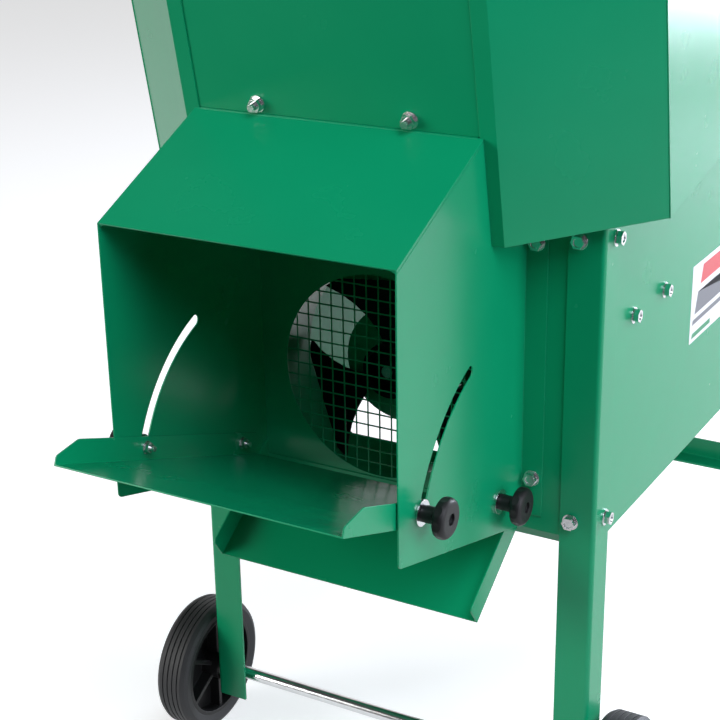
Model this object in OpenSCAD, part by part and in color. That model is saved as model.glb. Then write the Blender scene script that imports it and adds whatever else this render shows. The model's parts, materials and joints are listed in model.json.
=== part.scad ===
// Olive defoliator: a wheeled sheet-steel stand that blows leaves off falling olives.
// X runs along the front, Y runs from front to back and Z is up from the ground.
// Heights are above the ground. Distances "forward" and "back" are from the front face of the legs.

/* [Body] */
// Width over the legs
body_w = 500; // [420:1:600]
// Depth over the legs
body_d = 700; // [600:1:900]
// Height of the lower edge of the body
body_bottom = 385; // [360:1:390]
// Thickness of every sheet panel
sheet_t = 1.5; // [1:0.1:2]
// Length of the sloping lip under the front panel
lip_l = 12.8; // [8:0.2:16]
// Slope of that lip from upright, in degrees
lip_slope = 30; // [0:1:45]
// Height of the bend above that lip over the lower edge of the body
lip_rise = 6.5; // [4:0.5:10]
// Width of the flange along the top of each side panel
side_flange_w = 25; // [22:1:30]

/* [Legs] */
// Width of each flange of the leg angle
leg_w = 40; // [35:1:50]
// Thickness of the leg angle
leg_t = 3; // [2:0.5:5]
// Distance of the leg bolts from the outer corner
leg_bolt_inset = 27.5; // [20:0.5:29]
// Height of the upper row of leg bolts
leg_bolt_high = 723; // [690:1:728]
// Height of the lower row of leg bolts
leg_bolt_low = 412; // [405:1:440]
// How far the front legs reach below the axle
leg_below_axle = 27; // [20:1:40]
// Height of the rear brace above the ground
rail_z = 190; // [150:1:240]
// Width of each flange of the brace and support angles
rail_w = 30; // [25:1:35]
// Thickness of the brace and support angles
rail_t = 3; // [2:0.5:4]
// Thickness of the rubber pads under the rear legs
pad_t = 8; // [5:1:15]
// Side of the square rubber pads
pad_w = 50; // [46:1:60]

/* [Hood] */
// Outer width of the hood
hood_w = 328; // [327:1:340]
// How far the hood reaches forward of the legs
hood_reach = 273; // [240:1:300]
// Height of the roof at its front edge
hood_brow_z = 762; // [740:1:790]
// Height of the roof where it meets the hopper
hood_crown_z = 842; // [820:1:860]
// Height of the lower front corners
hood_chin_z = 470; // [440:1:480]
// Height of the lower edge at the front panel
hood_heel_z = 393; // [390:1:400]
// Radius of the lower front corners
hood_corner_r = 6; // [2:1:12]
// Inner radius of the bend between the roof and the sides
hood_bend_r = 8; // [4:1:10]
// Width of the flanges that are bolted to the front panel
hood_flange_w = 24; // [22:1:30]
// Height of the lower end of those flanges
hood_flange_low = 409; // [400:1:430]
// Height of the upper flange bolts
hood_bolt_high = 715; // [690:1:725]
// Height of the lower flange bolts
hood_bolt_low = 453; // [440:1:480]
// Distance between the two bolts above the roof
roof_bolt_gap = 174; // [120:1:240]
// Distance of the seam groove in each side below the roof
roof_seam_drop = 3; // [2:0.5:5]

/* [Tray] */
// Distance of the tray pivot forward of the legs
pivot_forward = 54; // [50:1:70]
// Height of the tray pivot
pivot_z = 446; // [440:1:452]
// Radius of the curved slots about the pivot
slot_r = 185; // [150:1:195]
// Width of the curved slots
slot_w = 12.5; // [9:0.5:13.5]
// Slope of the tray as shown, in degrees
tray_slope = 20; // [18:0.5:22]
// How far the tray tips up from there, in degrees
tray_travel = 47; // [30:1:48]
// Gap between each hood side and the tray
tray_gap = 1.5; // [1:0.1:2.5]
// Length of the tray forward of its pivot
tray_front = 329; // [300:1:340]
// Length of the tray behind its pivot
tray_rear = 33; // [25:1:38]
// Height of the pivot above the underside of the tray
tray_drop = 14.6; // [12:0.1:16]
// Height of the tray sides
tray_side_h = 26; // [24:0.5:30]
// Height of the tray sides at the front tip
tray_tip_h = 10; // [6:1:16]
// Length of the sloping nose of the tray sides
tray_nose = 31; // [20:1:50]

/* [Knobs] */
// Diameter of the knob heads
knob_d = 41; // [36:1:50]
// Thickness of the knob heads
knob_head_t = 17; // [15:1:19]
// Length of each knob from its washer
knob_l = 30; // [26:1:34]
// Diameter of the knob necks
knob_neck_d = 17; // [15:1:20]
// Number of shallow lobes round each head
knob_lobes = 8; // [5:1:8]
// Diameter of the clamping studs
stud_d = 6; // [5:1:8]
// How far the studs stand out of their nuts
stud_end = 5; // [2:0.5:8]
// Diameter of the washers under the knobs
washer_d = 26.5; // [20:0.5:28]
// Diameter of the washers under the nuts
nut_washer_d = 14.5; // [13:0.5:20]
// Distance across the flats of the nuts on the studs
stud_nut_af = 10; // [9:0.5:13]
// Height of the nuts on the studs
stud_nut_h = 5; // [4:0.5:6.5]

/* [Chute] */
// Distance of the chute lip forward of the legs
chute_reach = 100; // [80:1:130]
// Slope of the chute, in degrees
chute_slope = 35.3; // [30:0.1:38]
// Height at which the chute floor leaves the front panel
chute_top_z = 397; // [395:1:399]
// Height of the chute sides
chute_side_h = 27.5; // [20:0.5:30]
// Radius of the front corners of the chute sides
chute_corner_r = 5; // [2:1:10]
// Height of the flange that holds the chute on the front panel
chute_flange_h = 14; // [6:1:15]

/* [Fan] */
// Sideways place of the fan axis
fan_x = -12; // [-20:1:20]
// Height of the fan axis
fan_z = 532; // [528:1:545]
// Diameter of the opening in the front panel
fan_hole_d = 238; // [220:1:240]
// Pitch of the wire guard
mesh_pitch = 15; // [14:0.5:20]
// Thickness of the guard wires
mesh_wire = 2; // [1.6:0.1:2.6]
// How far the guard reaches past its opening
guard_lap = 8; // [6:1:9]
// Diameter of the impeller
impeller_d = 236; // [216:1:240]
// Clearance between the impeller and its duct
impeller_gap = 6; // [4:0.5:8]
// Number of impeller blades
impeller_blades = 3; // [3:1:4]
// Pitch of the blades from the fan plane, in degrees
blade_pitch = 18; // [12:1:22]
// Half of the angle that each blade covers at the hub, in degrees
blade_root_turn = 12; // [8:1:20]
// Half of the angle that each blade covers at its tip, in degrees
blade_tip_turn = 36; // [24:1:40]
// Diameter of the impeller hub
impeller_hub_d = 64; // [50:1:80]
// Length of the duct behind the front panel
duct_l = 56; // [40:1:60]
// Length of the floor under the fan
fan_floor_l = 126; // [100:1:200]

/* [Motor] */
// Height of the motor shaft from its feet
motor_h = 71; // [71:1:76]
// Distance between the foot holes across the shaft
motor_foot_a = 112; // [100:1:125]
// Distance between the foot holes along the shaft
motor_foot_b = 90; // [88:1:100]
// Distance of the first foot holes back from the legs
motor_foot_y = 98; // [96:1:100]
// Distance of the shaft shoulder forward of those holes
motor_shoulder = 45; // [44:0.5:47]
// Diameter of the shaft end
shaft_d = 14; // [12:1:14]
// Length of the shaft end
shaft_l = 30; // [28:1:32]
// Diameter of the motor housing without its fins
housing_d = 124; // [116:1:126]
// Height of the cooling fins
fin_h = 6; // [3:0.5:7]
// Number of cooling fins
fin_count = 28; // [16:1:36]
// Length of the motor housing behind its rear feet
housing_end = 6; // [4:1:20]
// Thickness of each end shield
shield_t = 13; // [12:1:16]
// Length of the cowl over the cooling fan
cowl_l = 56; // [45:1:70]
// Distance of the front support rail back from the legs
support_y = 95.5; // [94:0.5:97]
// Distance between the two support rails
support_gap = 95; // [93:0.5:97]

/* [Hopper] */
// Outer width of the hopper
hopper_w = 615; // [600:1:660]
// Width of the strips of the corner sheets beside the hopper front
hopper_strip_w = 17.5; // [15:0.5:25]
// Length of the hopper over which its corners are cut off
hopper_corner = 105; // [80:1:130]
// How far the hopper floor reaches behind the legs
hopper_back = 4; // [0:1:60]
// Slope of the hopper floor, in degrees
hopper_slope = 11; // [10:0.5:12]
// Distance of the lower front edge forward of the legs
hopper_forward = 81; // [78:1:84]
// Height of the lower front edge
hopper_z = 732; // [731:1:740]
// Height of the level rim
rim_z = 1060; // [1000:1:1120]
// Width of the rim
rim_w = 16; // [12:1:24]
// How far the sides of the opening in the floor lie inside the hood
throat_inset = 4; // [3:0.5:8]
// Length of the opening at the front of the floor
throat_l = 82; // [80:1:84]

/* [Gate] */
// Length of the gate plate
gate_l = 150; // [140:1:180]
// How far the gate overlaps the opening on each side
gate_lap = 6; // [4:1:7]
// Thickness of the gate plate
gate_t = 2; // [1.5:0.5:3]
// Height of the grip at the back of the gate
gate_grip_h = 30; // [25:1:45]

/* [Wheels] */
// Diameter of the wheels
wheel_d = 168; // [160:1:190]
// Width of the tyres
tyre_w = 44; // [34:1:48]
// Thickness of the tyre rubber
tyre_t = 17; // [14:1:22]
// Gap between each leg and its tyre
wheel_gap = 8; // [7:0.5:14]
// Diameter of the axle
axle_d = 16; // [14:1:18]
// Distance of the axle back from the legs
axle_y = 20; // [18:1:23]
// Number of wheel spokes
spokes = 6; // [5:1:8]
// Distance between the grooves of the tyres
groove_gap = 7; // [5:0.5:9]

/* [Handles] */
// Diameter of the handle tubes
handle_d = 25; // [22:1:28]
// Height of the handles
handle_z = 700; // [640:1:740]
// How far the handles reach behind the body
handle_reach = 160; // [150:1:200]
// Length of each handle along the body
handle_hold = 180; // [160:1:220]
// Distance of the front handle bolts from the ends of the tubes
handle_bolt_inset = 25; // [20:1:40]
// Length of the grips
grip_l = 115; // [100:1:125]
// Thickness of the grips
grip_t = 3; // [2:0.5:4]

/* [Switch] */
// Width of the switch box
switch_w = 76; // [66:1:90]
// Height of the switch box
switch_h = 104; // [95:1:120]
// Depth of the switch box
switch_depth = 52; // [45:1:60]
// Sideways place of the switch box
switch_x = 150; // [140:1:160]
// Height of the lower edge of the switch box
switch_z = 740; // [735:1:750]
// Diameter of the push buttons
button_d = 24; // [20:1:26]
// Distance that the buttons travel
button_travel = 3; // [2:0.5:4]
// Diameter of the bore of the lead inlet
gland_bore_d = 9; // [6:0.5:10]

/* [Fasteners] */
// Diameter of the bolt shanks
bolt_d = 8; // [6:1:8]
// Diameter of the flange on bolts and nuts
flange_d = 17.8; // [16:0.2:18]
// Distance across the flats of heads and nuts
hex_af = 13; // [12:0.5:13]
// Height of heads and nuts above their flange
hex_h = 6.5; // [5:0.5:7]

/* [Hidden] */
$fn = 64;

green = [0.02, 0.50, 0.36];
dark_green = [0.01, 0.38, 0.27];
zinc = [0.74, 0.75, 0.76];
black = [0.06, 0.06, 0.065];
rubber = [0.09, 0.09, 0.095];
steel = [0.60, 0.61, 0.62];
red = [0.75, 0.08, 0.06];
button_green = [0.10, 0.60, 0.22];
grey = [0.45, 0.46, 0.47];

// Clearances
slip = 0.05;
free_gap = 0.3;
bolt_gap = 0.3;
seam = 0.5;

// Inner radius of the folded angles
angle_bend_r = 2;

// Places that follow from the sizes above
leg_x = body_w / 2;
panel_x = leg_x - leg_t;
inside_x = panel_x - sheet_t;
hood_x = hood_w / 2;
tray_x = hood_x - sheet_t - tray_gap;
tray_w = 2 * tray_x;
chute_x = hood_x - sheet_t - free_gap;
throat_x = hood_x - throat_inset;
throat_w = 2 * throat_x;
front_x = throat_x + hopper_strip_w;
hopper_x = hopper_w / 2;
panel_y = leg_t;
panel_back = panel_y + sheet_t;
rear_y = body_d - leg_t;
panel_half = panel_x - angle_bend_r;
side_front = panel_y + angle_bend_r;
side_back = rear_y - angle_bend_r;
lip_z = body_bottom + lip_rise;
hopper_l = (body_d + hopper_back + hopper_forward) / cos(hopper_slope);
flange_x = hood_x + hood_flange_w / 2;
wheel_r = wheel_d / 2;
axle_r = axle_d / 2;
stud_r = stud_d / 2;
bolt_r = bolt_d / 2;
washer_t = 1.6;
nut_h = hex_h;
flange_t = 1.6;
far = 2000;

// The hopper is set out in its own frame, along (v) and square to (w) its sloping floor.
function hopper_y(v, w) = v * cos(hopper_slope) - w * sin(hopper_slope) - hopper_forward;
function hopper_up(v, w) = v * sin(hopper_slope) + w * cos(hopper_slope) + hopper_z;
function hopper_yz(v, w) = [hopper_y(v, w), hopper_up(v, w)];
function floor_z(y) = hopper_z + (y + hopper_forward) * tan(hopper_slope);
function rim_w_at(v) = (rim_z - hopper_z - v * sin(hopper_slope)) / cos(hopper_slope);
roof_w = (hood_crown_z - hopper_z) / cos(hopper_slope);

// Reach of the whole machine from front to back, which sets its middle
tray_tip_y = -pivot_forward - tray_front * cos(tray_slope) - tray_drop * sin(tray_slope);
machine_back = body_d + handle_reach;
middle_y = (tray_tip_y + machine_back) / 2;

// Flat shapes from points
function unit(v) = v / norm(v);
function side_of(a, b) = let (d = unit(b - a)) [-d[1], d[0]];
function mitre(a, b, c, t) =
    let (m = side_of(a, b), n = side_of(b, c)) b + t * (m + n) / (1 + m * n);
function shifted(path, t) = let (last = len(path) - 1) [
    for (i = [0 : last])
        i == 0 ? path[0] + t * side_of(path[0], path[1])
        : i == last ? path[last] + t * side_of(path[last - 1], path[last])
        : mitre(path[i - 1], path[i], path[i + 1], t)
];
function backwards(path) = [for (i = [len(path) - 1 : -1 : 0]) path[i]];
function inset(ring, t) = let (n = len(ring)) [
    for (i = [0 : n - 1]) mitre(ring[(i + n - 1) % n], ring[i], ring[(i + 1) % n], t)
];
function corner_arc(a, b, c, r, steps) =
    let (
        p = unit(a - b),
        q = unit(c - b),
        half = acos(p * q) / 2,
        centre = b + unit(p + q) * r / sin(half),
        from = b + p * r / tan(half) - centre,
        to = b + q * r / tan(half) - centre
    )
    [for (i = [0 : steps]) centre + r * unit(from * (1 - i / steps) + to * i / steps)];
function rounded(ring, radii) = let (n = len(ring)) [
    for (i = [0 : n - 1])
        each radii[i] > 0
            ? corner_arc(ring[(i + n - 1) % n], ring[i], ring[(i + 1) % n], radii[i], 6)
            : [ring[i]]
];

// A bent sheet drawn as its outer line, with its thickness to the left of that line
module bent(path, t) {
    polygon(concat(path, backwards(shifted(path, t))));
}

// The machine stands with the middle of its length over the origin.
module machine() {
    translate([0, -middle_y, 0]) children();
}

// Places a shape drawn in the frame of the hopper floor
module on_hopper() {
    translate([0, -hopper_forward, hopper_z]) rotate([hopper_slope, 0, 0]) children();
}

// Stands an outline drawn in Y and Z along X, from x for a width of t
module across(x, t) {
    translate([x, 0, 0]) rotate([90, 0, 90]) linear_extrude(t) children();
}

// Turns a shape drawn along Z so that it points back, forward or sideways
module facing_back() { rotate([-90, 0, 0]) children(); }
module facing_front() { rotate([90, 0, 0]) children(); }
module facing_side(side) { rotate([0, side * 90, 0]) children(); }
module both_sides() {
    for (side = [-1, 1]) scale_side(side) children();
}
module scale_side(side) {
    if (side > 0) children();
    else mirror([1, 0, 0]) children();
}

// A ring or washer standing on the XY plane
module ring(outer_r, inner_r, h) {
    difference() {
        cylinder(r = outer_r, h = h);
        translate([0, 0, -1]) cylinder(r = inner_r, h = h + 2);
    }
}

// A folded steel angle along Z with its outer corner on the Z axis and flanges along +X and +Y
module angle_bar(w, t, h) {
    bend_r = t + angle_bend_r;
    linear_extrude(h) {
        translate([bend_r, 0]) square([w - bend_r, t]);
        translate([0, bend_r]) square([t, w - bend_r]);
        translate([bend_r, bend_r]) intersection() {
            difference() {
                circle(r = bend_r);
                circle(r = angle_bend_r);
            }
            translate([-bend_r, -bend_r]) square(bend_r);
        }
    }
}

// A flanged bolt whose head stands up from Z = 0, and its flanged nut below the grip
module flange_bolt(grip, end = 2) {
    tail = grip + flange_t + nut_h + end;
    translate([0, 0, -tail]) cylinder(r = bolt_r, h = tail + 1);
    difference() {
        union() {
            cylinder(r = flange_d / 2, h = flange_t);
            cylinder(r = hex_af / sqrt(3), h = flange_t + hex_h, $fn = 6);
        }
        translate([0, 0, flange_t + hex_h - 1]) cylinder(r = hex_af / 3, h = 2);
    }
    translate([0, 0, -grip - flange_t - nut_h]) difference() {
        union() {
            cylinder(r = hex_af / sqrt(3), h = nut_h + 1, $fn = 6);
            translate([0, 0, nut_h]) cylinder(r = flange_d / 2, h = flange_t);
        }
        translate([0, 0, -1]) cylinder(r = bolt_r + slip, h = nut_h + flange_t + 2);
    }
}

module bolt_hole(depth) {
    translate([0, 0, -depth - 1]) cylinder(r = bolt_r + bolt_gap, h = depth + 2);
}

// Legs

leg_top_front = floor_z(0) - leg_t;
leg_top_rear = floor_z(body_d - leg_w) - leg_t;

module leg_face_holes(depth) {
    for (z = [leg_bolt_low, leg_bolt_high])
        translate([leg_x - leg_bolt_inset, 0, z]) facing_front() bolt_hole(depth);
}

module leg_side_holes(y) {
    for (z = [leg_bolt_low, leg_bolt_high])
        translate([leg_x, y, z]) facing_side(1) bolt_hole(leg_t + sheet_t);
}

module front_leg() {
    foot = wheel_r - leg_below_axle;
    difference() {
        translate([leg_x, 0, foot]) rotate([0, 0, 90]) angle_bar(leg_w, leg_t, leg_top_front - foot);
        leg_face_holes(leg_t);
        leg_side_holes(leg_bolt_inset);
        translate([panel_x - 1, axle_y, wheel_r]) facing_side(1) cylinder(r = axle_r + slip, h = leg_t + 2);
    }
}

module rear_leg() {
    difference() {
        translate([leg_x, body_d, pad_t]) rotate([0, 0, 180]) angle_bar(leg_w, leg_t, leg_top_rear - pad_t);
        translate([0, body_d, 0]) mirror([0, 1, 0]) leg_face_holes(leg_t);
        leg_side_holes(body_d - leg_bolt_inset);
        brace_bolt_places() bolt_hole(leg_t + rail_t);
        handle_bolt_places(handle_bolt_back) bolt_hole(leg_t + sheet_t);
    }
}

module leg_front_right() { color(green) machine() front_leg(); }
module leg_front_left() { color(green) machine() mirror([1, 0, 0]) front_leg(); }
module leg_rear_right() { color(green) machine() rear_leg(); }
module leg_rear_left() { color(green) machine() mirror([1, 0, 0]) rear_leg(); }

// Bolts that hold the panels and the rear brace to the legs
module leg_bolts() {
    panel_grip = leg_t + sheet_t;
    color(zinc) machine() both_sides() {
        for (z = [leg_bolt_low, leg_bolt_high]) {
            translate([leg_x - leg_bolt_inset, 0, z]) facing_front() flange_bolt(panel_grip);
            translate([leg_x - leg_bolt_inset, body_d, z]) facing_back() flange_bolt(panel_grip);
            for (y = [leg_bolt_inset, body_d - leg_bolt_inset])
                translate([leg_x, y, z]) facing_side(1) flange_bolt(panel_grip);
        }
        brace_bolt_places() flange_bolt(leg_t + rail_t);
    }
}

// Angle across the rear legs near the ground
module rear_brace() {
    half = panel_half;
    color(green) machine() difference() {
        translate([-half, rear_y, rail_z]) rotate([90, 0, 90]) mirror([1, 0, 0])
            angle_bar(rail_w, rail_t, 2 * half);
        both_sides() brace_bolt_places() bolt_hole(leg_t + rail_t);
    }
}

module brace_bolt_places() {
    translate([leg_x - leg_bolt_inset, body_d, rail_z + rail_w / 2]) facing_back() children();
}

module rear_feet() {
    inset_w = (pad_w - leg_w) / 2;
    color(rubber) machine() both_sides()
        translate([leg_x - leg_w - inset_w, body_d - leg_w - inset_w, 0]) cube([pad_w, pad_w, pad_t]);
}

// Body panels

module front_panel() {
    half = panel_half;
    lip_end = [panel_y + lip_l * sin(lip_slope), lip_z - lip_l * cos(lip_slope)];
    color(dark_green) machine() difference() {
        across(-half, 2 * half) bent([[panel_y, floor_z(panel_y)], [panel_y, lip_z], lip_end], sheet_t);
        translate([fan_x, panel_y - 1, fan_z]) facing_back()
            cylinder(r = fan_hole_d / 2, h = sheet_t + 2, $fn = 120);
        both_sides() {
            leg_face_holes(panel_back);
            for (z = [hood_bolt_low, hood_bolt_high])
                translate([flange_x, panel_y, z]) facing_front() bolt_hole(sheet_t);
        }
    }
}

module side_panel() {
    flange_ends = [for (y = [side_flange_back, side_flange_front]) [y, floor_z(y)]];
    difference() {
        union() {
            across(inside_x, sheet_t) polygon([
                [side_front, body_bottom],
                [side_back, body_bottom],
                [side_back, floor_z(side_back)],
                each flange_ends,
                [side_front, floor_z(side_front)]
            ]);
            across(panel_x - side_flange_w, side_flange_w - sheet_t / 2)
                polygon(concat(flange_ends, [for (p = backwards(flange_ends)) p - [0, sheet_t]]));
        }
        leg_side_holes(leg_bolt_inset);
        leg_side_holes(body_d - leg_bolt_inset);
        support_bolt_places() bolt_hole(sheet_t);
        for (y = [handle_bolt_front, handle_bolt_back]) handle_bolt_places(y) bolt_hole(leg_t + sheet_t);
        hopper_bolt_places() bolt_hole(2 * sheet_t);
    }
}

// The top flanges of the side panels end clear of the legs
leg_margin = 10;
side_flange_front = leg_w + leg_margin;
side_flange_back = body_d - leg_w - leg_margin;

module side_panel_right() { color(green) machine() side_panel(); }
module side_panel_left() { color(green) machine() mirror([1, 0, 0]) side_panel(); }

module rear_panel() {
    half = panel_half;
    color(green) machine() difference() {
        translate([-half, rear_y - sheet_t, body_bottom])
            cube([2 * half, sheet_t, floor_z(rear_y - sheet_t) - body_bottom]);
        both_sides() translate([0, body_d, 0]) mirror([0, 1, 0]) leg_face_holes(panel_back);
    }
}

// Floor under the fan; behind it the body is open below and draws its air there
module fan_floor() {
    color(green) machine() across(-inside_x, 2 * inside_x)
        bent([[panel_back, fan_floor_z], [fan_floor_l, fan_floor_z], [fan_floor_l, body_bottom]], sheet_t);
}

// The fan floor lies just above the bend of the front panel
fan_floor_z = lip_z + 1;

// Hood

hood_back = panel_y;

// Outline of a hood side in Y and Z
hood_outline = rounded(
    [
        [-hood_reach, hood_chin_z],
        [hood_back, hood_heel_z],
        [hood_back, floor_z(hood_back) - seam],
        hopper_yz(-free_gap, -seam),
        hopper_yz(-free_gap, roof_w),
        [-hood_reach, hood_brow_z]
    ],
    [hood_corner_r, 0, 0, 0, 0, 0]
);

// Curved slot about the tray pivot
module tray_slot() {
    low = tray_slope;
    high = tray_slope + tray_travel;
    reach = slot_r + slot_w;
    translate([-pivot_forward, pivot_z]) {
        intersection() {
            difference() {
                circle(r = slot_r + slot_w / 2, $fn = 160);
                circle(r = slot_r - slot_w / 2, $fn = 160);
            }
            polygon([
                [0, 0],
                slot_way(reach, low),
                slot_way(2 * reach, (low + high) / 2),
                slot_way(reach, high)
            ]);
        }
        for (turn = [low, high]) translate(slot_way(slot_r, turn)) circle(r = slot_w / 2);
    }
}
function slot_way(r, turn) = [-r * cos(turn), r * sin(turn)];

module hood_side() {
    difference() {
        union() {
            across(hood_x - sheet_t, sheet_t) difference() {
                polygon(hood_outline);
                tray_slot();
                translate([-pivot_forward, pivot_z]) circle(r = stud_r + slip);
            }
            translate([hood_x - sheet_t, hood_back - sheet_t, hood_flange_low])
                cube([hood_flange_w + sheet_t, sheet_t, floor_z(0) - seam - sheet_t - hood_flange_low]);
        }
        for (z = [hood_bolt_low, hood_bolt_high])
            translate([flange_x, hood_back - sheet_t, z]) facing_front() bolt_hole(2 * sheet_t);
        on_roof() translate([hood_x - groove_depth, -1, -roof_seam_drop - groove_w])
            cube([1, norm(roof_run) + 2, groove_w]);
    }
}

// Size of the groove where the roof is folded onto the sides
groove_w = 0.7;
groove_depth = 0.4;

// Frame of the roof, with its front edge along X and its outer face at Z = 0
module on_roof() {
    translate([0, -hood_reach, hood_brow_z]) rotate([roof_slope, 0, 0]) children();
}

// Rounded inner bend where a side turns into the roof
module roof_bend() {
    from_x = hood_x - sheet_t - hood_bend_r;
    on_roof() facing_back() linear_extrude(norm(roof_run) - hood_bend_r) difference() {
        translate([from_x, sheet_t - seam]) square(hood_bend_r + 2 * seam);
        translate([from_x, sheet_t + hood_bend_r]) circle(r = hood_bend_r);
    }
}

roof_run = hopper_yz(-free_gap, roof_w) - [-hood_reach, hood_brow_z];
roof_slope = atan2(roof_run[1], roof_run[0]);

module front_hood() {
    shelf_x = throat_x - 2;
    shelf_v = 2 * sheet_t + free_gap;
    color(green) machine() {
        difference() {
            union() {
                both_sides() {
                    hood_side();
                    roof_bend();
                }
                across(-hood_x, hood_w)
                    bent([hopper_yz(-free_gap, roof_w), [-hood_reach, hood_brow_z]], sheet_t);
                on_hopper() translate([-shelf_x, 0, roof_w - sheet_t]) {
                    translate([0, -2, 0]) cube([2 * shelf_x, shelf_v + 2 + sheet_t, sheet_t]);
                    translate([0, shelf_v, 0]) cube([2 * shelf_x, sheet_t, roof_flange_h]);
                }
            }
            roof_bolt_places() bolt_hole(4 * sheet_t);
        }
    }
}

roof_flange_h = 24;
roof_bolt_margin = 1.5;
roof_bolt_w = roof_w + flange_d / 2 + roof_bolt_margin;

module roof_bolt_places() {
    for (x = [-roof_bolt_gap / 2, roof_bolt_gap / 2])
        on_hopper() translate([x, sheet_t, roof_bolt_w]) facing_front() children();
}

// Bolts of the hood flanges, and those above the roof, whose nuts are outside
module hood_bolts() {
    roof_grip = 2 * sheet_t + free_gap;
    color(zinc) machine() {
        both_sides() for (z = [hood_bolt_low, hood_bolt_high])
            translate([flange_x, hood_back - sheet_t, z]) facing_front() flange_bolt(2 * sheet_t);
        roof_bolt_places() translate([0, 0, -roof_grip]) rotate([180, 0, 0]) flange_bolt(roof_grip, 6);
    }
}

// Deflector tray, drawn level with its pivot at the origin and its front along -Y
module in_tray() {
    translate([0, -pivot_forward, pivot_z]) rotate([-tray_slope, 0, 0]) children();
}

tray_bolt_places = [0, -slot_r];

module deflector_tray() {
    low = -tray_drop;
    top = tray_side_h - tray_drop;
    side_outline = rounded(
        [
            [tray_rear, low],
            [tray_rear, top],
            [tray_nose - tray_front, top],
            [-tray_front, low + tray_tip_h],
            [-tray_front, low]
        ],
        [0, 4, 12, 5, 0]
    );
    color(green) machine() in_tray() {
        translate([-tray_x, -tray_front, low]) cube([tray_w, tray_front + tray_rear, sheet_t]);
        both_sides() across(tray_x - sheet_t, sheet_t) difference() {
            polygon(side_outline);
            for (y = tray_bolt_places) translate([y, 0]) circle(r = stud_r + slip);
        }
    }
}

// Neck and lobed head of a clamping knob, with its washer face at the origin
module knob() {
    neck_r = knob_neck_d / 2;
    knob_r = knob_d / 2;
    head_z = knob_l - knob_head_t;
    cone_h = 6;
    side_r = knob_d;
    lobe_depth = 0.9;
    cap_r = 6;
    cap_depth = 3;
    difference() {
        rotate_extrude() polygon(rounded(
            [
                [0, 0],
                [neck_r, 0],
                [neck_r, head_z],
                [knob_r, head_z + cone_h],
                [knob_r, knob_l],
                [0, knob_l]
            ],
            [0, 0, 2, 4, 6, 0]
        ));
        for (i = [0 : knob_lobes - 1]) rotate((i + 0.5) * 360 / knob_lobes)
            translate([knob_r + side_r - lobe_depth, 0, head_z]) cylinder(r = side_r, h = knob_head_t + 1);
        translate([0, 0, knob_l - cap_depth]) cylinder(r = cap_r, h = cap_depth + 1);
        translate([0, 0, -1]) cylinder(r = stud_r + slip, h = knob_bore_l + 1);
    }
}

knob_bore_l = knob_l - 8;
knob_face_x = hood_x + free_gap + washer_t + slip;

module placed_knob(y) {
    machine() in_tray() translate([knob_face_x, y, 0]) facing_side(1) color(black) knob();
}

module knob_front_right() { placed_knob(-slot_r); }
module knob_rear_right() { placed_knob(0); }
module knob_front_left() { mirror([1, 0, 0]) placed_knob(-slot_r); }
module knob_rear_left() { mirror([1, 0, 0]) placed_knob(0); }

// Washers under the knobs outside the hood and under the nuts inside the tray
module tray_washers() {
    color(zinc) machine() in_tray() both_sides() for (y = tray_bolt_places) translate([0, y, 0]) {
        translate([hood_x + free_gap, 0, 0]) facing_side(1)
            ring(washer_d / 2, stud_r + slip, washer_t);
        translate([stud_nut_x + stud_nut_h, 0, 0]) facing_side(1)
            ring(nut_washer_d / 2, stud_r + slip, washer_t);
    }
}

stud_nut_x = tray_x - sheet_t - washer_t - stud_nut_h;

module tray_nuts() {
    color(zinc) machine() in_tray() both_sides() for (y = tray_bolt_places)
        translate([stud_nut_x, y, 0]) facing_side(1) difference() {
            cylinder(r = stud_nut_af / sqrt(3), h = stud_nut_h, $fn = 6);
            translate([0, 0, -1]) cylinder(r = stud_r + slip, h = stud_nut_h + 2);
        }
}

// Studs that stand in the tray sides and carry the nuts inside and the knobs outside
module tray_studs() {
    from_x = stud_nut_x - stud_end;
    to_x = knob_face_x + knob_bore_l - 1;
    color(zinc) machine() in_tray() both_sides() for (y = tray_bolt_places)
        translate([from_x, y, 0]) facing_side(1) cylinder(r = stud_r, h = to_x - from_x);
}

// Discharge chute: a sloping floor between two sides, with a flange up the front panel
module discharge_chute() {
    top = [panel_y, chute_top_z];
    lip = [-chute_reach, chute_top_z - (panel_y + chute_reach) * tan(chute_slope)];
    side_top = [panel_y, chute_top_z + chute_side_h / cos(chute_slope)];
    side_outline = rounded(
        [lip, top, side_top, lip + side_of(lip, top) * chute_side_h],
        [0, 0, 0, chute_corner_r]
    );
    color(green) machine() {
        across(-chute_x, 2 * chute_x) bent([lip, top, top + [0, chute_flange_h]], sheet_t);
        both_sides() across(chute_x - sheet_t, sheet_t) polygon(side_outline);
    }
}

// Fan

guard_r = fan_hole_d / 2 + guard_lap;
duct_r = impeller_d / 2 + impeller_gap;

module on_fan(y) {
    translate([fan_x, y, fan_z]) facing_back() children();
}

// Round piece of welded wire behind the opening of the front panel
module mesh_guard() {
    count = floor(guard_r / mesh_pitch);
    color(dark_green) machine() on_fan(panel_back) linear_extrude(mesh_wire) {
        difference() {
            circle(r = guard_r, $fn = 120);
            circle(r = guard_r - 2 * mesh_wire, $fn = 120);
        }
        intersection() {
            circle(r = guard_r - mesh_wire, $fn = 120);
            union() for (i = [-count : count]) {
                translate([i * mesh_pitch - mesh_wire / 2, -guard_r]) square([mesh_wire, 2 * guard_r]);
                translate([-guard_r, i * mesh_pitch - mesh_wire / 2]) square([2 * guard_r, mesh_wire]);
            }
        }
    }
}

ring_stud_d = 5;
ring_stud_end = 2;
ring_nut_af = 8;
ring_nut_h = 4;
ring_margin = 7;
ring_stud_r = guard_r + ring_margin;
ring_flange_r = ring_stud_r + ring_margin;

module ring_stud_places() {
    for (turn = [45 : 90 : 315]) rotate(turn) translate([ring_stud_r, 0, 0]) children();
}

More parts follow.
